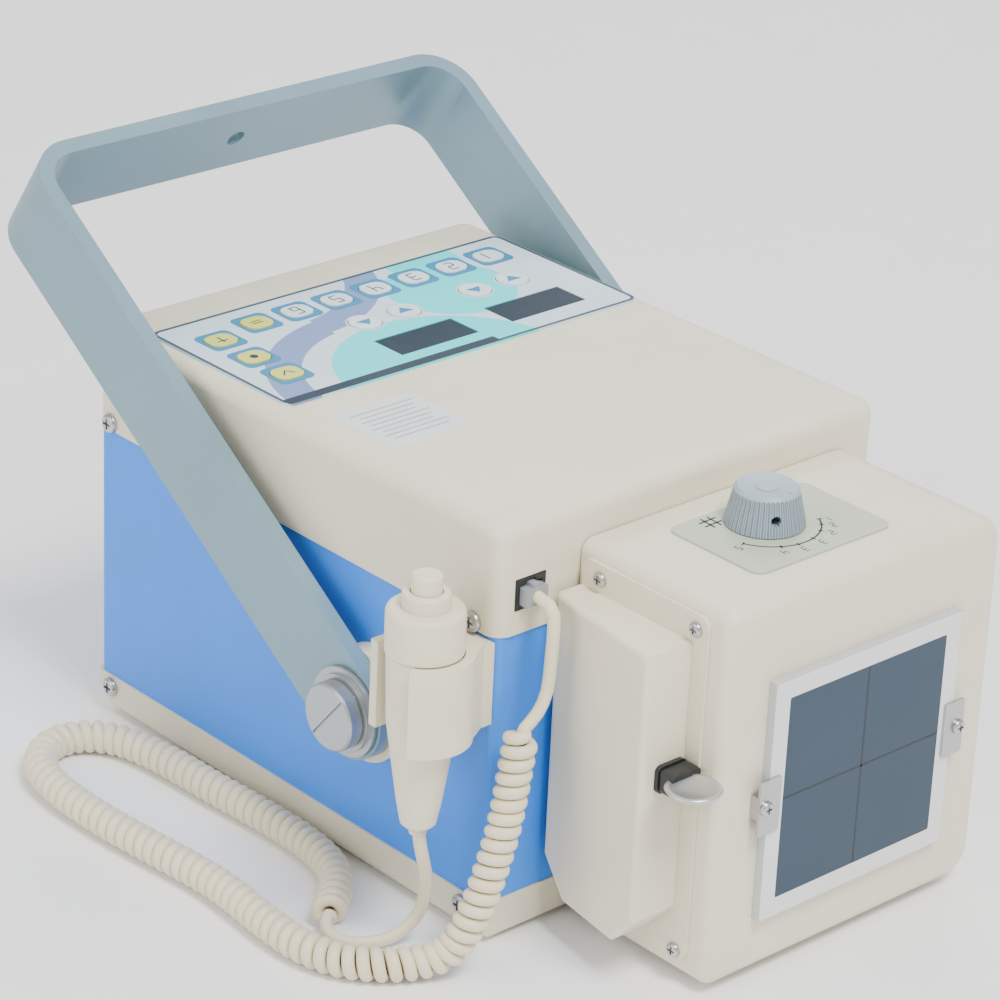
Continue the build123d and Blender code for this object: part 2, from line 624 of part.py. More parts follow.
def tape_profile(inset):
    """The tape housing's outline, seen from the side, as a sketch in Y and Z."""
    i = inset
    y_front, y_rear = FRONT_Y - 60 + i, FRONT_Y - 3.5 - i
    z0, z1 = 18.0 + i, 138.0 - i
    points = [(y_rear, z1), (y_front, z1), (y_front, z0 + 14), (y_front + 13, z0), (y_rear - 13, z0),
              (y_rear, z0 + 14)]
    return make_face(Polyline(*points, close=True))


def tape_wedge(inset, near, far):
    """A block on that outline whose outer face leans out from near, at the rear, to far, at the front."""
    solid = extrude(Plane.YZ * tape_profile(inset), -abs(far) - 10)
    y_front, y_rear = FRONT_Y - 60, FRONT_Y - 3.5
    keep = make_face(Polyline((0, y_rear + 9), (0, y_front - 9), (far - 1.4, y_front - 9),
                              (near + 1.4, y_rear + 9), close=True))
    return solid & extrude(keep, 200)


def tape_housing():
    """The side housing of the tape measure: a wedge-shaped shell with chamfered lower corners."""
    near, far = -70.5, -79.5
    base = COL_X0 - FLANGE_T
    cutter = block(base, 50, FRONT_Y - 100, FRONT_Y + 50, 0, 200)
    outer = tape_wedge(0, near, far) - cutter
    outer = fillet(outer.faces().sort_by(Axis.X)[0].edges(), 2.2)
    inner = tape_wedge(WALL, near + WALL, far + WALL) - block(base + 1, 50, FRONT_Y - 100, FRONT_Y + 50, 0, 200)
    shell = outer - inner
    slot = block(TAPE_X - 5.6, TAPE_X + 5.2, FRONT_Y - 65, FRONT_Y - 55, TAPE_Z - 2.4, TAPE_Z + 2.4)
    return shell - slot


def slot_bezel():
    """The rim round the tape's slot."""
    y1 = FRONT_Y - 60.0
    rim = block(TAPE_X - 8, TAPE_X + 6, y1 - 1.8, y1, TAPE_Z - 5.4, TAPE_Z + 5.4)
    rim = fillet(rim.edges().filter_by(Axis.Y), 2.5)
    return rim - block(TAPE_X - 5.6, TAPE_X + 5.2, y1 - 5, y1 + 5, TAPE_Z - 2.4, TAPE_Z + 2.4)


def tape_blade():
    """The straight stretch of tape between the reel and the pull tab."""
    half = TAPE_W / 2
    return block(TAPE_X - half, TAPE_X + half, FRONT_Y - 64, FRONT_Y - 12, TAPE_Z - 0.2, TAPE_Z + 0.2)


def tape_tab():
    """The tape's end: a block that stops it at the slot, and a round pull tab."""
    y1 = FRONT_Y - 62.2
    stop = block(TAPE_X - 7.4, TAPE_X + 6.2, y1 - 6.5, y1, TAPE_Z - 4.6, TAPE_Z + 4.6)
    stop = fillet(stop.edges().filter_by(Axis.Y), 1.5)
    half = TAPE_W / 2
    stop -= block(TAPE_X - half, TAPE_X + half, y1 - 1.8, y1 + 1, TAPE_Z - 0.2, TAPE_Z + 0.2)
    tab = Pos(TAPE_X - 3.4, FRONT_Y - 75.0, TAPE_Z + 1.6) * Cylinder(10.4, 2.0)
    tab = fillet(tab.edges(), 0.8)
    return stop + tab


def tape_reel():
    """The spring reel that the tape winds on. It turns on the flange's pin."""
    x0 = TAPE_X - 4.2
    reel = tube((x0, REEL_Y, REEL_Z), (1, 0, 0), REEL_R, 3.05, 9)
    for x in (x0, x0 + 8.4):
        reel += tube((x, REEL_Y, REEL_Z), (1, 0, 0), REEL_R + 0.4, 3.05, 0.6)
    return reel


def dial_plate():
    """The printed plate under the knob."""
    plate = Pos(6.6, FRONT_Y - 37) * RectangleRounded(69, 47, 5)
    plate = plate - Pos(KNOB_X, KNOB_Y) * Circle(3.4)
    return Pos(0, 0, COL_Z1) * extrude(plate, DIAL_T)


def field_knob():
    """The tapered, fluted knob, with a pointer groove on top and a hole for its set screw."""
    z0 = COL_Z1 + DIAL_T + 0.4
    height = 14.4
    profile = Polyline((3.05, 0), (15.0, 0), (14.6, 2.2), (12.0, height - 1.2), (11.0, height), (3.05, height - 1),
                       close=True)
    knob = revolve(Plane.XZ * make_face(profile), Axis.Z)
    knob += Pos(0, 0, height - 1.2) * Cylinder(4, 1.4)
    for i in range(44):
        a = 2 * pi * i / 44
        groove = Pos(15.6 * cos(a), 15.6 * sin(a), 6.4) * Rot(0, 0, 360 * i / 44) * Rot(0, -11.5, 0) * Box(2.0, 1.0, 11)
        knob = knob - groove
    pointer = Rot(0, 0, 279) * Pos(7.5, 0, height) * Box(6, 0.7, 0.8)
    screw_hole = Rot(0, 0, 241) * rod((18, 0, 6), (-1, 0, 0), 1.9, 15)
    return Pos(KNOB_X, KNOB_Y, z0) * (knob - pointer - screw_hole)


def knob_shaft():
    """The shaft that takes the knob's turn down to the shutters."""
    return rod((KNOB_X, KNOB_Y, COL_Z1 - 18), (0, 0, 1), 3.0, 31)


def window_plate():
    """The clear plate over the port."""
    h = WINDOW_SIZE / 2
    return block(BEAM_X - h, BEAM_X + h, COL_Y0 - WINDOW_T, COL_Y0, BEAM_Z - h, BEAM_Z + h)


def window_clips():
    """The two bent clips that hold the plate at its sides."""
    clips = []
    for side in (-1, 1):
        edge = BEAM_X + side * (WINDOW_SIZE / 2)
        y0 = COL_Y0 - WINDOW_T
        tab = block(edge - side * 5.2, edge + side * 5.2, y0 - 1.2, y0, BEAM_Z - 11, BEAM_Z + 11)
        tab = fillet(tab.edges().filter_by(Axis.Y), 1)
        foot = block(edge + side * 4.0, edge + side * 5.2, y0 - 0.6, COL_Y0, BEAM_Z - 4.5, BEAM_Z + 4.5)
        hole = rod((edge + side * 2.1, y0 - 3, BEAM_Z), (0, 1, 0), 1.5, 6)
        clips.append(tab + foot - hole)
    return group(clips)


SHUTTER_GAP = 18.0
SHUTTER_W, SHUTTER_L = 30.0, 96.0


def shutter(axis, side):
    """One lead shutter blade. The pair across X stands in front of the pair across Z."""
    near, far = SHUTTER_GAP * side, (SHUTTER_GAP + SHUTTER_W) * side
    half = SHUTTER_L / 2
    if axis == "x":
        y = COL_Y0 + 14
        return block(BEAM_X + near, BEAM_X + far, y, y + BLADE_T, BEAM_Z - half, BEAM_Z + half)
    y = COL_Y0 + 20
    return block(BEAM_X - half, BEAM_X + half, y, y + BLADE_T, BEAM_Z + near, BEAM_Z + far)


def light_optics():
    """The light-field lamp and the mirror that folds its light into the beam."""
    y = COL_Y1 - 24
    mirror = Pos(BEAM_X, y, BEAM_Z) * Rot(0, 0, 45) * Box(1.5, 44, 44)
    lamp = rod((BEAM_X + 40, y, BEAM_Z), (1, 0, 0), 6, 18)
    lamp = fillet(lamp.edges().sort_by(Axis.X)[0], 4)
    return group([mirror, lamp])


# ---- all the parts -------------------------------------------------------------------------------------
def all_parts():
    parts = {
        "bottom_tray": bottom_tray(),
        "body_shell": body_shell(),
        "upper_cover": upper_cover(),
        "rubber_feet": rubber_feet(),
        "cabinet_screws": cabinet_screws(),
        "overlay_panel": overlay_panel(),
        "digit_displays": digit_displays(),
        "control_board": control_board(),
        "hv_tank": hv_tank(),
        "xray_tube": xray_tube(),
        "power_board": power_board(),
        "mains_inlet": mains_inlet(),
        "rocker_frame": rocker_frame(),
        "power_rocker": power_rocker(),
        "switch_jack": switch_jack(),
        "pivot_bosses": pivot_bosses(),
        "carry_handle": carry_handle(),
        "pivot_bolts": pivot_bolts(),
        "holder_clip": holder_clip(),
        "switch_barrel": switch_barrel(),
        "switch_collar": switch_collar(),
        "switch_sleeve": switch_sleeve(),
        "switch_button": switch_button(),
        "button_spring": button_spring(),
        "cord_plug": cord_plug(),
        "jack_lead": cord_tube("jack_lead", LEAD_POINTS, CORD_D),
        "curly_coil": cord_tube("curly_coil", COIL_POINTS, COIL_D),
        "switch_lead": cord_tube("switch_lead", SWITCH_LEAD_POINTS, CORD_D),
        "collimator_housing": collimator_housing(),
        "side_flange": side_flange(),
        "small_screws": small_screws(),
        "tape_housing": tape_housing(),
        "slot_bezel": slot_bezel(),
        "tape_blade": tape_blade(),
        "tape_tab": tape_tab(),
        "tape_reel": tape_reel(),
        "dial_plate": dial_plate(),
        "field_knob": field_knob(),
        "knob_shaft": knob_shaft(),
        "window_plate": window_plate(),
        "window_clips": window_clips(),
        "light_optics": light_optics(),
        "shutter_left": shutter("x", -1),
        "shutter_right": shutter("x", 1),
        "shutter_lower": shutter("z", -1),
        "shutter_upper": shutter("z", 1),
    }
    for name, x, y, kind in key_places():
        parts[name] = membrane_key(x, y, kind)
    return parts


os.makedirs("parts", exist_ok=True)
for node, shape in all_parts().items():
    export_step(shape, f"parts/{node}.step")
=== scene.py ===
import bpy
import bmesh
import json
from math import cos, sin, pi, radians, hypot
from mathutils import Matrix, Vector


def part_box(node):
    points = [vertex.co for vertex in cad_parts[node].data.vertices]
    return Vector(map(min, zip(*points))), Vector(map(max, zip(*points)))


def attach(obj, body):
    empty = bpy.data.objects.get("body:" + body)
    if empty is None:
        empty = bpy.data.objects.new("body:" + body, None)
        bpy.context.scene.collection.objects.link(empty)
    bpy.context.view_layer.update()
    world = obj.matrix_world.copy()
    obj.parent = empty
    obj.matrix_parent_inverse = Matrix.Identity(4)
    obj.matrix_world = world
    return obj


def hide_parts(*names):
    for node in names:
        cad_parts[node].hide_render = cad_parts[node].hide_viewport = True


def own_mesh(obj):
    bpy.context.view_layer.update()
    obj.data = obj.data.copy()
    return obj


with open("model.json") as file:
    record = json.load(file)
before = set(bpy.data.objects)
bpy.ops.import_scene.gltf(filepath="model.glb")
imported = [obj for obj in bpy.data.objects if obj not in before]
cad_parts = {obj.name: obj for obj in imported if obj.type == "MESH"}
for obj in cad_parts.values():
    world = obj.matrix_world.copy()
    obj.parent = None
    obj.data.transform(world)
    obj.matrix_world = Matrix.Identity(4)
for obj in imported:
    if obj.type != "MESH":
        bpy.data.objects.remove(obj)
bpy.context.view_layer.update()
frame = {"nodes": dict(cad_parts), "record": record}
nodes = frame["nodes"]
MM = 0.001
ROOT = "cabinet"


def scene_object(name, data):
    """A new object in the scene."""
    obj = bpy.data.objects.new(name, data)
    bpy.context.scene.collection.objects.link(obj)
    return obj


# ---- camera -------------------------------------------------------------------------------------
CAMERA_AT = (-0.930878, -1.015586, 0.752118)
CAMERA_BACK = (-0.6168, -0.6640, 0.4228)
CAMERA_RIGHT = (0.7451, -0.6657, 0.0416)
cam_data = bpy.data.cameras.new("camera")
cam_data.lens = 140.95
cam_data.sensor_width = 36.0
cam_data.clip_end = 20.0
cam = scene_object("camera", cam_data)
back = Vector(CAMERA_BACK).normalized()
right = Vector(CAMERA_RIGHT)
right = (right - back * right.dot(back)).normalized()
up = back.cross(right)
turn = Matrix((right, up, back)).transposed().to_4x4()
cam.matrix_world = Matrix.Translation(CAMERA_AT) @ turn
bpy.context.scene.camera = cam

# ---- materials ----------------------------------------------------------------------------------
COAT_ROUGH = 0.15
IOR = 1.45
GRAIN_DEPTH = 0.0003
CLOUD = {"Scale": 22, "Detail": 5, "Roughness": 0.6}
CLOUD_FROM, CLOUD_TO = 0.3, 0.7
STREAK_SCALE = 260
STREAK_STRETCH = (1, 12, 12)
STREAK_DEPTH = 0.0002


def new_node(tree, kind, values=None, operation=None):
    """A shader node, with its operation and the values of some of its inputs."""
    node = tree.nodes.new(kind)
    if operation:
        node.operation = operation
    for socket, value in (values or {}).items():
        node.inputs[socket].default_value = value
    return node


def scratched(tree, coord, normal, strength):
    """The given normal with fine streaks along X added to it."""
    link = tree.links.new
    streaks = new_node(tree, "ShaderNodeTexNoise", {"Scale": STREAK_SCALE})
    stretch = new_node(tree, "ShaderNodeMapping", {"Scale": STREAK_STRETCH})
    link(coord.outputs["Object"], stretch.inputs["Vector"])
    link(stretch.outputs["Vector"], streaks.inputs["Vector"])
    more = new_node(tree, "ShaderNodeBump", {"Strength": strength, "Distance": STREAK_DEPTH})
    link(streaks.outputs["Fac"], more.inputs["Height"])
    link(normal, more.inputs["Normal"])
    return more.outputs["Normal"]


def material(name, color, rough=0.5, metal=0.0, grain=1200.0, bump=0.08, vary=0.06, coat=0.0,
             edge=0.0004, specular=0.5, transmission=0.0, scratch=0.0):
    """A surface with fine grain in its bump, slow changes in colour and roughness, and soft edges."""
    m = bpy.data.materials.new(name)
    m.use_nodes = True
    tree = m.node_tree
    link = tree.links.new
    shader = tree.nodes["Principled BSDF"]
    shader.inputs["Metallic"].default_value = metal
    shader.inputs["Coat Weight"].default_value = coat
    shader.inputs["Coat Roughness"].default_value = COAT_ROUGH
    shader.inputs["Specular IOR Level"].default_value = specular
    shader.inputs["Transmission Weight"].default_value = transmission
    shader.inputs["IOR"].default_value = IOR
    coord = new_node(tree, "ShaderNodeTexCoord")
    fine = new_node(tree, "ShaderNodeTexNoise", {"Scale": grain, "Detail": 3})
    link(coord.outputs["Object"], fine.inputs["Vector"])
    cloud = new_node(tree, "ShaderNodeTexNoise", CLOUD)
    link(coord.outputs["Object"], cloud.inputs["Vector"])
    ramp = new_node(tree, "ShaderNodeValToRGB")
    dark = [c * (1 - vary) for c in color]
    light = [min(1, c * (1 + vary * 0.6)) for c in color]
    for stop, position, shade in zip(ramp.color_ramp.elements, (CLOUD_FROM, CLOUD_TO), (dark, light)):
        stop.position = position
        stop.color = (*shade, 1)
    link(cloud.outputs["Fac"], ramp.inputs["Fac"])
    link(ramp.outputs["Color"], shader.inputs["Base Color"])
    spread = new_node(tree, "ShaderNodeMapRange", {
        "From Min": CLOUD_FROM,
        "From Max": CLOUD_TO,
        "To Min": max(rough - 0.07, 0.02),
        "To Max": min(rough + 0.08, 1),
    })
    link(cloud.outputs["Fac"], spread.inputs["Value"])
    link(spread.outputs["Result"], shader.inputs["Roughness"])
    bumps = new_node(tree, "ShaderNodeBump", {"Strength": bump, "Distance": GRAIN_DEPTH})
    link(fine.outputs["Fac"], bumps.inputs["Height"])
    normal = bumps.outputs["Normal"]
    if scratch:
        normal = scratched(tree, coord, normal, scratch)
    link(normal, shader.inputs["Normal"])
    if edge:
        bevel = new_node(tree, "ShaderNodeBevel", {"Radius": edge})
        bevel.samples = 4
        link(bevel.outputs["Normal"], bumps.inputs["Normal"])
    return m


LOOKS = {
    # paint
    "cream_paint": dict(color=(0.72, 0.67, 0.52), rough=0.42, bump=0.10, grain=1500),
    "blue_paint": dict(color=(0.035, 0.25, 0.90), rough=0.42, bump=0.16, grain=1100, specular=0.35),
    "handle_paint": dict(color=(0.20, 0.32, 0.38), rough=0.34, metal=0.25, bump=0.14, grain=900),
    # plastic and rubber
    "cream_plastic": dict(color=(0.78, 0.72, 0.56), rough=0.45, bump=0.12, grain=1600),
    "grey_plastic": dict(color=(0.78, 0.72, 0.55), rough=0.42, bump=0.10, grain=1500),
    "black_plastic": dict(color=(0.018, 0.019, 0.022), rough=0.42, bump=0.12, edge=0.0003),
    "clear_plastic": dict(color=(0.7, 0.74, 0.78), rough=0.15, transmission=0.6, bump=0.03),
    "knob_grey": dict(color=(0.33, 0.42, 0.49), rough=0.42, bump=0.12, edge=0.0003),
    "cord_jacket": dict(color=(0.78, 0.70, 0.50), rough=0.38, bump=0.05, edge=0.0),
    "black_rubber": dict(color=(0.02, 0.02, 0.02), rough=0.8, bump=0.3),
    # metal
    "steel_screw": dict(color=(0.50, 0.50, 0.51), rough=0.26, metal=1.0, bump=0.05, scratch=0.1, edge=0.0002),
    "bolt_steel": dict(color=(0.42, 0.44, 0.46), rough=0.34, metal=0.75, bump=0.06, edge=0.0005),
    "clip_metal": dict(color=(0.46, 0.46, 0.47), rough=0.34, metal=0.9, bump=0.05, scratch=0.12, edge=0.0002),
    "tab_metal": dict(color=(0.55, 0.57, 0.59), rough=0.32, metal=0.8, bump=0.05, scratch=0.1),
    "tape_steel": dict(color=(0.75, 0.68, 0.2), rough=0.35, metal=0.2),
    "panel_aluminium": dict(color=(0.47, 0.52, 0.40), rough=0.5, bump=0.05),
    # panel, keys and print
    "panel_film": dict(color=(0.62, 0.76, 0.84), bump=0.05, grain=2500, edge=0.0002, specular=0.2),
    "display_lens": dict(color=(0.010, 0.025, 0.045), rough=0.4, bump=0.02, edge=0.0002, specular=0.15),
    "key_film": dict(color=(0.74, 0.82, 0.86), rough=0.35, bump=0.04),
    "key_yellow": dict(color=(0.68, 0.70, 0.13), rough=0.35, bump=0.04),
    "key_white": dict(color=(0.72, 0.80, 0.84), rough=0.38, bump=0.04),
    "key_square": dict(color=(0.012, 0.22, 0.44), bump=0.04),
    "print_dark": dict(color=(0.012, 0.03, 0.05), rough=0.6, bump=0.03, edge=0.0),
    "print_white": dict(color=(0.74, 0.76, 0.74), rough=0.42, bump=0.05, edge=0.0),
    "border_slate": dict(color=(0.04, 0.075, 0.11), rough=0.6, bump=0.03, edge=0.0),
    "label_film": dict(color=(0.70, 0.74, 0.76), rough=0.35, bump=0.03, edge=0.0),
    "label_grey": dict(color=(0.36, 0.38, 0.40), rough=0.45, bump=0.03, edge=0.0),
    # window
    "window_acrylic": dict(color=(0.70, 0.74, 0.75), rough=0.12, coat=0.3, bump=0.02, transmission=0.25),
    "window_dark": dict(color=(0.022, 0.045, 0.075), rough=0.10, specular=0.35, bump=0.02, edge=0.0),
    "window_line": dict(color=(0.008, 0.012, 0.02), rough=0.4, bump=0.02, edge=0.0),
    # inside
    "circuit_board": dict(color=(0.02, 0.14, 0.05), rough=0.4),
    "tank_steel": dict(color=(0.3, 0.31, 0.33), rough=0.45, metal=0.6),
    "tube_glass": dict(color=(0.8, 0.86, 0.86), rough=0.05, transmission=0.9, bump=0.01),
    "lead_blade": dict(color=(0.18, 0.19, 0.2), rough=0.6, metal=0.7),
}
MATS = {name: material(name, **look) for name, look in LOOKS.items()}

MIX_A, MIX_B, MIX_RESULT = 6, 7, 2  # a Mix node's colour sockets
CIRCLE_EDGE = 0.15  # half the width of a printed circle's edge
KNOB_X, KNOB_Y = 4.5, -148.5
FLUTES = 44
FLUTE_TOP = 167.8
FLUTE_EDGE = 0.3
FLUTE_DEPTH = 0.0006


def tint(mat, inside, color):
    """Mixes a colour into a material's base colour where the given node output is one."""
    tree = mat.node_tree
    shader = tree.nodes["Principled BSDF"]
    mix = tree.nodes.new("ShaderNodeMix")
    mix.data_type = "RGBA"
    tree.links.new(inside, mix.inputs["Factor"])
    tree.links.new(shader.inputs["Base Color"].links[0].from_socket, mix.inputs[MIX_A])
    mix.inputs[MIX_B].default_value = (*color, 1)
    tree.links.new(mix.outputs[MIX_RESULT], shader.inputs["Base Color"])


def inside_circle(mat, cx, cy, radius):
    """One inside an upright cylinder, and zero outside it."""
    tree = mat.node_tree
    coord = new_node(tree, "ShaderNodeTexCoord")
    from_axis = {1: (1, 1, 0), 2: (-cx * MM, -cy * MM, 0)}
    offset = new_node(tree, "ShaderNodeVectorMath", from_axis, "MULTIPLY_ADD")
    tree.links.new(coord.outputs["Object"], offset.inputs[0])
    length = new_node(tree, "ShaderNodeVectorMath", operation="LENGTH")
    tree.links.new(offset.outputs[0], length.inputs[0])
    soft = new_node(tree, "ShaderNodeMapRange", {
        "From Min": (radius + CIRCLE_EDGE) * MM,
        "From Max": (radius - CIRCLE_EDGE) * MM,
    })
    tree.links.new(length.outputs["Value"], soft.inputs["Value"])
    return soft.outputs["Result"]


def product(mat, a, b, flip=False):
    """a times b, or a times one minus b."""
    tree = mat.node_tree
    if flip:
        turned = new_node(tree, "ShaderNodeMath", {0: 1.0}, "SUBTRACT")
        tree.links.new(b, turned.inputs[1])
        b = turned.outputs[0]
    times = new_node(tree, "ShaderNodeMath", operation="MULTIPLY")
    tree.links.new(a, times.inputs[0])
    tree.links.new(b, times.inputs[1])
    return times.outputs[0]


def flutes(mat, cx, cy, count, top):
    """Upright ribs round a knob's side, as bump, up to a height."""
    tree = mat.node_tree
    link = tree.links.new
    coord = new_node(tree, "ShaderNodeTexCoord")
    offset = new_node(tree, "ShaderNodeVectorMath", {1: (cx * MM, cy * MM, 0)}, "SUBTRACT")
    link(coord.outputs["Object"], offset.inputs[0])
    split = new_node(tree, "ShaderNodeSeparateXYZ")
    link(offset.outputs[0], split.inputs[0])
    angle = new_node(tree, "ShaderNodeMath", operation="ARCTAN2")
    link(split.outputs["Y"], angle.inputs[0])
    link(split.outputs["X"], angle.inputs[1])
    ribs_round = new_node(tree, "ShaderNodeMath", {1: count}, "MULTIPLY")
    link(angle.outputs[0], ribs_round.inputs[0])
    wave = new_node(tree, "ShaderNodeMath", operation="SINE")
    link(ribs_round.outputs[0], wave.inputs[0])
    below = new_node(tree, "ShaderNodeMapRange", {
        "From Min": (top + FLUTE_EDGE) * MM,
        "From Max": (top - FLUTE_EDGE) * MM,
    })
    link(split.outputs["Z"], below.inputs["Value"])
    ribs = new_node(tree, "ShaderNodeBump", {"Strength": 1.0, "Distance": FLUTE_DEPTH})
    link(product(mat, wave.outputs[0], below.outputs["Result"]), ribs.inputs["Height"])
    shader = tree.nodes["Principled BSDF"]
    link(shader.inputs["Normal"].links[0].from_socket, ribs.inputs["Normal"])
    link(ribs.outputs["Normal"], shader.inputs["Normal"])


# The panel's printed colours: a band that bends one way and then the other, and three round fields.
BAND_R, BAND_HALF_W = 57.5, 7
SPLIT_X, SPLIT_Y, SPLIT_R = -30, 60, 1000
BAND_VIOLET = (0.20, 0.29, 0.52)
FIELD_CYAN = (0.07, 0.78, 0.82)
film = MATS["panel_film"]
left_half = inside_circle(film, SPLIT_X - SPLIT_R, SPLIT_Y, SPLIT_R)
for cx, cy, flip in ((-22, 2, False), (-36, 118, True)):
    outer = inside_circle(film, cx, cy, BAND_R + BAND_HALF_W)
    inner = inside_circle(film, cx, cy, BAND_R - BAND_HALF_W)
    band = product(film, outer, inner, True)
    tint(film, product(film, band, left_half, flip), BAND_VIOLET)
for cx, cy, r in ((-11, 0, 49), (37, 61, 27), (46, 88, 17)):
    tint(film, inside_circle(film, cx, cy, r), FIELD_CYAN)
flutes(MATS["knob_grey"], KNOB_X, KNOB_Y, FLUTES, FLUTE_TOP)

# Each node looks like its slot's name says, apart from these.
OTHER_LOOK = {
    "field_knob": "knob_grey",
    "side_flange": "cream_plastic",
    "switch_button": "grey_plastic",
    "window_clips": "clip_metal",
    "slot_bezel": "black_plastic",
    "key_store": "key_yellow",
    "key_power": "key_yellow",
    "key_lamp": "key_yellow",
    "key_mode": "key_yellow",
}
slot_of = {r["node"]: r["material_slot"] for r in frame["record"]["subparts"]}
for name, obj in nodes.items():
    obj.data.materials.clear()
    obj.data.materials.append(MATS[OTHER_LOOK.get(name, slot_of[name])])


# ---- makers -------------------------------------------------------------------------------------
def finish_piece(obj, mat, body):
    """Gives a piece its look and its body."""
    obj.data.materials.clear()
    obj.data.materials.append(MATS[mat])
    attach(obj, body)
    return obj


def mesh_object(name, bm):
    """An object made from a bmesh, with its faces turned outward."""
    me = bpy.data.meshes.new(name)
    bmesh.ops.recalc_face_normals(bm, faces=bm.faces)
    bm.to_mesh(me)
    bm.free()
    return scene_object(name, me)


def rounded(w, d, r, cx=0.0, cy=0.0, steps=6):
    """The outline of a rounded rectangle, as points."""
    pts = []
    for q, (sx, sy) in enumerate(((1, 1), (-1, 1), (-1, -1), (1, -1))):
        for k in range(steps + 1):
            a = pi / 2 * (q + k / steps)
            pts.append((cx + sx * (w / 2 - r) + r * cos(a), cy + sy * (d / 2 - r) + r * sin(a)))
    return pts


def stroke(x0, y0, x1, y1, w):
    """A thin straight mark as a four-sided outline."""
    dx, dy = x1 - x0, y1 - y0
    n = hypot(dx, dy)
    ox, oy = -dy / n * w / 2, dx / n * w / 2
    return [(x0 + ox, y0 + oy), (x0 - ox, y0 - oy), (x1 - ox, y1 - oy), (x1 + ox, y1 + oy)]


def next_round(count):
    """Each index of a closed ring with the one after it."""
    return [(i, (i + 1) % count) for i in range(count)]


def plate(name, outlines, place, height):
    """Flat shapes of one height. Each is a list of points, or an outer and an inner list for a ring."""
    bm = bmesh.new()
    for shape in outlines:
        rings = shape if isinstance(shape[0][0], (tuple, list)) else [shape]
        low = [[bm.verts.new(place(x, y, 0.0)) for x, y in ring] for ring in rings]
        top = [[bm.verts.new(place(x, y, height)) for x, y in ring] for ring in rings]
        pairs = next_round(len(rings[0]))
        for below, above in zip(low, top):
            for i, j in pairs:
                bm.faces.new((below[i], below[j], above[j], above[i]))
        for layer in (low, top):
            if len(rings) == 1:
                bm.faces.new(layer[0])
            else:
                for i, j in pairs:
                    bm.faces.new((layer[0][i], layer[0][j], layer[1][j], layer[1][i]))
    return mesh_object(name, bm)


def flat_piece(name, outlines, place, height, mat, body=ROOT):
    """A finished piece of flat shapes."""
    return finish_piece(plate(name, outlines, place, height), mat, body)


def on_top(z):
    """Places a flat shape on a level face, growing upward."""
    return lambda x, y, h: (x * MM, y * MM, (z + h) * MM)


def on_front(y):
    """Places a flat shape on a face that looks along the beam, growing forward."""
    return lambda x, z, h: (x * MM, (y - h) * MM, z * MM)


def lathe(name, profile, centre, mat, body=ROOT, segments=48):
    """A turned piece: profile is radius and height pairs, from bottom to top."""
    bm = bmesh.new()
    rings = []
    for r, z in profile:
        ring = []
        for k in range(segments):
            a = 2 * pi * k / segments
            ring.append(bm.verts.new(((centre[0] + r * cos(a)) * MM, (centre[1] + r * sin(a)) * MM, z * MM)))
        rings.append(ring)
    for low, top in zip(rings, rings[1:]):
        for i, j in next_round(segments):
            bm.faces.new((low[i], low[j], top[j], top[i]))
    bm.faces.new(rings[0])
    bm.faces.new(rings[-1])
    obj = mesh_object(name, bm)
    for p in obj.data.polygons:
        p.use_smooth = True
    return finish_piece(obj, mat, body)


def nurbs(name, points, bevel=0.0, resolution=4):
    """A smooth curve along points given in millimetres."""
    curve = bpy.data.curves.new(name, "CURVE")
    curve.dimensions = "3D"
    curve.bevel_depth = bevel
    curve.bevel_resolution = 4
    curve.use_fill_caps = True
    spline = curve.splines.new("NURBS")
    spline.points.add(len(points) - 1)
    for p, co in zip(spline.points, points):
        p.co = (*[c * MM for c in co], 1)
    spline.order_u = 3
    spline.use_endpoint_u = True
    spline.resolution_u = resolution
    return scene_object(name, curve)


# ---- the hand switch's cord ---------------------------------------------------------------------
CORD_D = 4.8
COIL_R = 4.3
PITCH = 5.1
PER_TURN = 14
GROW = 3.0  # the length over which the coil opens out from the straight wire
LEAST_OPEN = 0.05
FLOOR_COIL = 6.8  # the height of the coil's centre line where it lies on the floor
JACK_X, JACK_Y, JACK_Z = -80.6, -118.0, 140.6
BARREL_X, BARREL_Y = -120.0, -107.5
ROUTE_LEAD = [
    (JACK_X, JACK_Y - 4, JACK_Z - 0.7), (JACK_X, JACK_Y - 12, JACK_Z - 0.7),
    (JACK_X - 1.1, JACK_Y - 14.5, JACK_Z - 7.5), (JACK_X - 1.3, JACK_Y - 13.8, JACK_Z - 22),
    (JACK_X - 1.6, JACK_Y - 13.4, JACK_Z - 34), (JACK_X - 5.4, JACK_Y - 12.8, JACK_Z - 42),
    (JACK_X - 12.6, JACK_Y - 12.6, JACK_Z - 46.4),
]
ROUTE_COIL = [
    (-93.2, -130.7, 94.2), (-96.6, -131.3, 77), (-101.0, -132.4, 59), (-107.6, -132.6, 40.5),
    (-113.6, -131.0, 24), (-118.6, -126.6, 11.0), (-127.0, -121.0, FLOOR_COIL), (-139.5, -114.0, FLOOR_COIL),
    (-150.2, -101.6, FLOOR_COIL), (-155.0, -84.0, FLOOR_COIL), (-153.8, -60.0, FLOOR_COIL),
    (-150.8, -33.0, FLOOR_COIL), (-153.6, -3.0, FLOOR_COIL), (-156.6, 28.0, FLOOR_COIL),
    (-156.8, 58.0, FLOOR_COIL), (-152.0, 80.0, FLOOR_COIL), (-139.0, 92.5, FLOOR_COIL),
    (-123.0, 91.0, FLOOR_COIL), (-112.0, 77.0, FLOOR_COIL), (-108.6, 52.0, FLOOR_COIL),
    (-107.8, 24.0, FLOOR_COIL), (-105.8, -4.0, FLOOR_COIL), (-105.6, -30.0, FLOOR_COIL),
    (-109.6, -50.0, FLOOR_COIL), (-119.5, -64.0, FLOOR_COIL), (-134.0, -75.0, FLOOR_COIL),
]
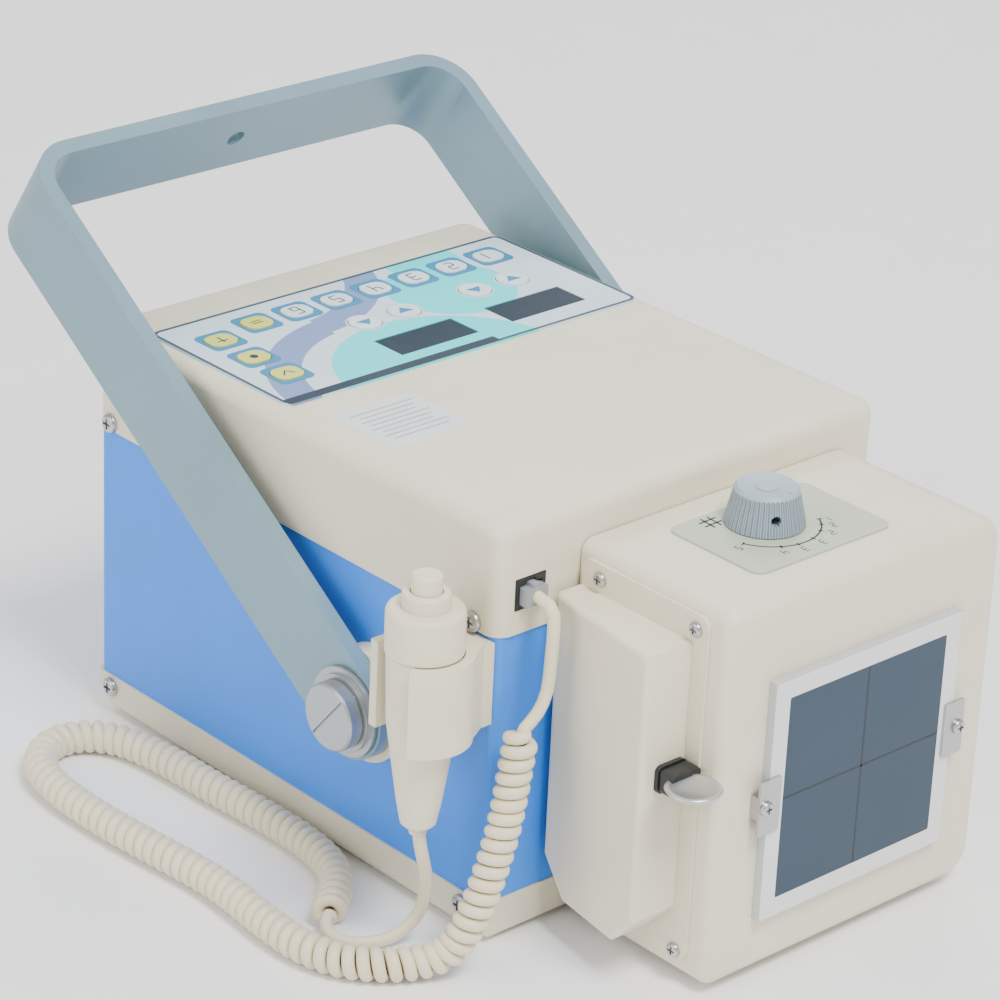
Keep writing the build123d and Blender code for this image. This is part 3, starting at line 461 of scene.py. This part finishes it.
ROUTE_SWITCH = [
    (-134.0, -75.0, FLOOR_COIL), (-138.6, -79.4, 5.0), (-138.5, -86.0, 3.0), (-131.5, -93.0, 2.6),
    (-121.5, -97.6, 3.4), (-113.6, -101.0, 10.0), (-112.4, -104.6, 21.0), (-114.6, -106.8, 34.0),
    (-118.6, -107.4, 45.0), (BARREL_X, BARREL_Y, 55.0),
]


def helix_on(points):
    """The turns of the curly cord round its centre line, from one end of the line to the other."""
    guide = nurbs("coil_guide", points, resolution=24)
    line = [v.co / MM for v in bpy.data.meshes.new_from_object(guide).vertices]
    bpy.data.objects.remove(guide)
    out = []
    normal = Vector((1, 0, 0))
    angle = 0.0
    total = sum((b - a).length for a, b in zip(line, line[1:]))
    done, next_at = 0.0, 0.0
    for a, b in zip(line, line[1:]):
        d = (b - a).length
        t = (b - a) / d
        normal = (normal - t * normal.dot(t)).normalized()
        side = t.cross(normal)
        while next_at <= done + d:
            p = a + t * (next_at - done)
            opened = min(1.0, next_at / GROW, (total - next_at) / GROW)
            r = COIL_R * max(opened, LEAST_OPEN)
            out.append(tuple(p + normal * (r * cos(angle)) + side * (r * sin(angle))))
            angle += 2 * pi / PER_TURN
            next_at += PITCH / PER_TURN
        done += d
    return out


cord_points = ROUTE_LEAD[:-1] + helix_on(ROUTE_COIL) + ROUTE_SWITCH[1:]
cord = nurbs("hand_switch_cord", cord_points, CORD_D / 2 * MM, 2)
finish_piece(cord, "cord_jacket", ROOT)
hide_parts("jack_lead", "curly_coil", "switch_lead")

# A tapered strain relief where the cord enters the barrel.
RELIEF = [
    (2.5, 52.2), (3.2, 52.0), (3.3, 53.2), (2.9, 53.4), (2.9, 54.0), (3.8, 54.1), (3.9, 55.1), (2.4, 55.2),
]
lathe("cord_relief", RELIEF, (BARREL_X, BARREL_Y), "grey_plastic")

# The button's return spring, as a piece of its own with a mesh of its own.
spring_mesh = bmesh.new()
spring_mesh.from_mesh(nodes["button_spring"].data)
spring = finish_piece(mesh_object("return_spring", spring_mesh), "steel_screw", ROOT)
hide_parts("button_spring")
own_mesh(spring)

# ---- panel print --------------------------------------------------------------------------------
PANEL_Z = 168.8
PANEL_X, PANEL_Y = 1.5, 51.5
PANEL_W, PANEL_D = 178.6, 85.0
BORDER_LINE = 1.5
PRINT_H = 0.08
THIN_PRINT_H = 0.06
FIRST_KEY_X, KEY_ROW_Y = 72.2, 78.0
KEY_PITCH = 20.0
NUMBER_KEYS = [(FIRST_KEY_X - KEY_PITCH * i, KEY_ROW_Y) for i in range(6)]
FUNCTION_KEYS = [(-47.8, KEY_ROW_Y), (-69.9, 72.2), (-69.9, 52.0), (-69.4, 32.6)]
KEY_SQUARE = 16.4
KEY_W, KEY_D = 13.2, 11.4
ARROWS_X = (-13.6, 6.4, 43.4, 63.4)
ARROWS_Y = 53.5
ARROW_OUTER, ARROW_INNER = 15.6, 14.0

panel_top = on_top(PANEL_Z)
squares = []
for x, y in NUMBER_KEYS + FUNCTION_KEYS:
    squares.append([rounded(KEY_SQUARE, KEY_SQUARE, 3.0, x, y), rounded(KEY_W, KEY_D, 4.5, x, y)])
flat_piece("key_squares", squares, panel_top, PRINT_H, "key_square")
bar = [rounded(104.6, 4.6, 0.6, -34.6, 11.6)]
flat_piece("panel_bar", bar, panel_top, PRINT_H, "print_dark")
rings = []
for x in ARROWS_X:
    rings.append([rounded(d, d, d / 2, x, ARROWS_Y) for d in (ARROW_OUTER, ARROW_INNER)])
flat_piece("arrow_rings", rings, panel_top, PRINT_H, "key_white")
border = [
    rounded(PANEL_W, PANEL_D, 4.0, PANEL_X, PANEL_Y),
    rounded(PANEL_W - 2 * BORDER_LINE, PANEL_D - 2 * BORDER_LINE, 2.6, PANEL_X, PANEL_Y),
]
flat_piece("panel_border", [border], panel_top, THIN_PRINT_H, "border_slate")


def key_mark(node, shapes, mat="print_dark"):
    """The mark on a key, which moves with it."""
    low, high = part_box(node)
    cx, cy, top = (low.x + high.x) / 2 / MM, (low.y + high.y) / 2 / MM, high.z / MM
    shapes = [[(cx + x, cy + y) for x, y in s] for s in shapes]
    flat_piece(node + "_mark", shapes, on_top(top), THIN_PRINT_H, mat, node + "_body")


UP = [[(-3.6, -1.6), (3.6, -1.6), (0.0, 3.2)]]
DOWN = [[(-3.6, 1.6), (3.6, 1.6), (0.0, -3.2)]]
for name in ("kv", "mas"):
    key_mark(f"key_{name}_down", DOWN, "key_square")
    key_mark(f"key_{name}_up", UP, "key_square")

# Each number is drawn from some of seven strokes. It reads from the rear of the unit, so it is turned
# half round.
STROKES = {
    "a": (-1, 2, 1, 2),
    "b": (1, 2, 1, 0),
    "c": (1, 0, 1, -2),
    "d": (-1, -2, 1, -2),
    "e": (-1, 0, -1, -2),
    "f": (-1, 2, -1, 0),
    "g": (-1, 0, 1, 0),
}
DIGITS = {1: "bc", 2: "abged", 3: "abgcd", 4: "fgbc", 5: "afgcd", 6: "afgedc"}
DIGIT_LINE = 0.42  # a stroke's width for a size of one
KEY_DIGIT = 1.6
DIAL_DIGIT = 0.8


def digit(number, size):
    """A number's strokes, centred on zero. It is two sizes wide and four high."""
    shapes = []
    for s in DIGITS[number]:
        x0, y0, x1, y1 = (-size * v for v in STROKES[s])
        shapes.append(stroke(x0, y0, x1, y1, size * DIGIT_LINE))
    return shapes


for i in range(6):
    key_mark(f"key_{i + 1}", digit(i + 1, KEY_DIGIT), "border_slate")
key_mark("key_store", [stroke(-2.4, 0.9, 2.4, 0.9, 0.6), stroke(-2.4, -0.9, 2.4, -0.9, 0.6)])
key_mark("key_power", [stroke(0, -2.6, 0, 2.6, 0.7), stroke(-2.4, -1.2, 2.4, -1.2, 0.6)])
key_mark("key_lamp", [rounded(3.4, 3.4, 1.7)])
key_mark("key_mode", [stroke(-2.6, -1.6, 0, 1.8, 0.6), stroke(0, 1.8, 2.6, -1.6, 0.6)])

# ---- the tape's end -----------------------------------------------------------------------------
TAB_R = 10.4
STOP_X, STOP_Z = -65.6, 88.2
STOP_DEPTH = 6.5
TAB_PROFILE = [
    (0.4, 88.85), (8.6, 88.85), (9.9, 89.1), (TAB_R, 89.8), (9.9, 90.6), (8.8, 90.75), (8.3, 90.4),
    (0.4, 90.3),
]
tab_lo, tab_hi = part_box("tape_tab")
tab_at = (tab_lo.x / MM + TAB_R, tab_lo.y / MM + TAB_R)
lathe("pull_tab", TAB_PROFILE, tab_at, "tab_metal", "tape")
block = [rounded(13.6, 9.2, 1.6, STOP_X, STOP_Z)]
stop_face = on_front(tab_hi.y / MM)
stop = flat_piece("tape_stop", block, stop_face, STOP_DEPTH, "black_plastic", "tape")
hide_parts("tape_tab")

# ---- window -------------------------------------------------------------------------------------
BEAM_X, BEAM_Z = 12.0, 74.5
PLATE_W, PANE_W = 95.6, 81.0
CROSS_HALF = 40.3
CROSS_LINE = 0.8
window_face = on_front(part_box("window_plate")[0].y / MM)
pane = rounded(PANE_W, PANE_W, 0.8, BEAM_X, BEAM_Z)
frame_ring = [rounded(PLATE_W, PLATE_W, 1.0, BEAM_X, BEAM_Z), pane]
flat_piece("window_border", [frame_ring], window_face, 0.10, "print_white")
flat_piece("window_pane", [pane], window_face, 0.04, "window_dark")
cross = [
    stroke(BEAM_X - CROSS_HALF, BEAM_Z, BEAM_X + CROSS_HALF, BEAM_Z, CROSS_LINE),
    stroke(BEAM_X, BEAM_Z - CROSS_HALF, BEAM_X, BEAM_Z + CROSS_HALF, CROSS_LINE),
]
flat_piece("window_cross", cross, window_face, 0.08, "window_line")

# ---- blank label, with plain bars for its lines of print ----------------------------------------
COVER_Z = 168.0
BAR_PITCH = 3.4
label = [rounded(39.0, 36.0, 1.0, -61.0, -24.5)]
flat_piece("cover_label", label, on_top(COVER_Z), PRINT_H, "label_film")
bars = []
for k in range(8):
    y = -12 - BAR_PITCH * k
    bars.append(stroke(-76 + 2 * (k % 2), y, -46 - 2 * (k % 3), y, 0.8))
flat_piece("label_bars", bars, on_top(COVER_Z), 0.12, "label_grey")

# ---- dial: an arc with numbered ticks, and a mark of crossed lines ------------------------------
DIAL_Z = 154.8
ARC_R, ARC_FROM, ARC_TURN = 20.5, 203.0, 128.0
ARC_STEPS = 30
ARC_HALF_W = 0.35
TICK_IN, TICK_OUT = 1, 1.2
TICK_LINE = 0.6
NUMBER_OUT = 4.2
TICKS = ((0.0, 5), (0.3, 4), (0.45, 3), (0.62, 3), (0.78, 2), (0.9, 2), (1.0, 1))


def on_dial(radius, part):
    """A point round the knob, at a part of the arc's whole turn."""
    a = radians(ARC_FROM + ARC_TURN * part)
    return KNOB_X + radius * cos(a), KNOB_Y + radius * sin(a)


marks = []
for part, number in TICKS:
    marks.append(stroke(*on_dial(ARC_R - TICK_IN, part), *on_dial(ARC_R + TICK_OUT, part), TICK_LINE))
    nx, ny = on_dial(ARC_R + NUMBER_OUT, part)
    for shape in digit(number, DIAL_DIGIT):
        marks.append([(x + nx, y + ny) for x, y in shape])
outside = [on_dial(ARC_R + ARC_HALF_W, k / ARC_STEPS) for k in range(ARC_STEPS + 1)]
inside = [on_dial(ARC_R - ARC_HALF_W, k / ARC_STEPS) for k in range(ARC_STEPS + 1)]
marks.append(outside + inside[::-1])
for x in (-13.0, -9.8):
    marks.append(stroke(x, -141.0, x + 0.6, -132.8, 0.8))
for y in (-138.6, -135.4):
    marks.append(stroke(-15.6, y, -7.0, y + 0.4, 0.8))
flat_piece("dial_marks", marks, on_top(DIAL_Z), THIN_PRINT_H, "print_dark")

# ---- studio -------------------------------------------------------------------------------------
FLOOR_HALF = 6
SKY_STRENGTH = 0.95
floor_mesh = bmesh.new()
for sx, sy in ((-1, -1), (1, -1), (1, 1), (-1, 1)):
    floor_mesh.verts.new((sx * FLOOR_HALF, sy * FLOOR_HALF, 0))
floor_mesh.faces.new(floor_mesh.verts)
floor = mesh_object("floor", floor_mesh)
floor_paper = material("floor_paper", (0.95, 0.95, 0.95), 0.9, bump=0.02, grain=60, vary=0.01, edge=0.0)
floor.data.materials.append(floor_paper)
world = bpy.data.worlds.new("world")
bpy.context.scene.world = world
world.use_nodes = True
sky = world.node_tree.nodes["Background"]
sky.inputs["Color"].default_value = (1, 1, 1, 1)
sky.inputs["Strength"].default_value = SKY_STRENGTH


def area(name, place, target, size, watts):
    """A square lamp that shines from a place at a target."""
    data = bpy.data.lights.new(name, "AREA")
    data.size = size
    data.energy = watts
    obj = scene_object(name, data)
    away = (Vector(place) - Vector(target)).normalized()
    obj.matrix_world = Matrix.Translation(place) @ away.to_track_quat("Z", "Y").to_matrix().to_4x4()
    return obj


for lamp in (
    area("key_light", (-0.2, -1.2, 1.9), (0, 0, 0.08), 0.7, 50),
    area("fill_light", (-1.8, 0.2, 1.0), (0, 0, 0.08), 1.2, 14),
    area("rim_light", (1.2, 1.0, 1.5), (0, 0, 0.1), 0.9, 12),
):
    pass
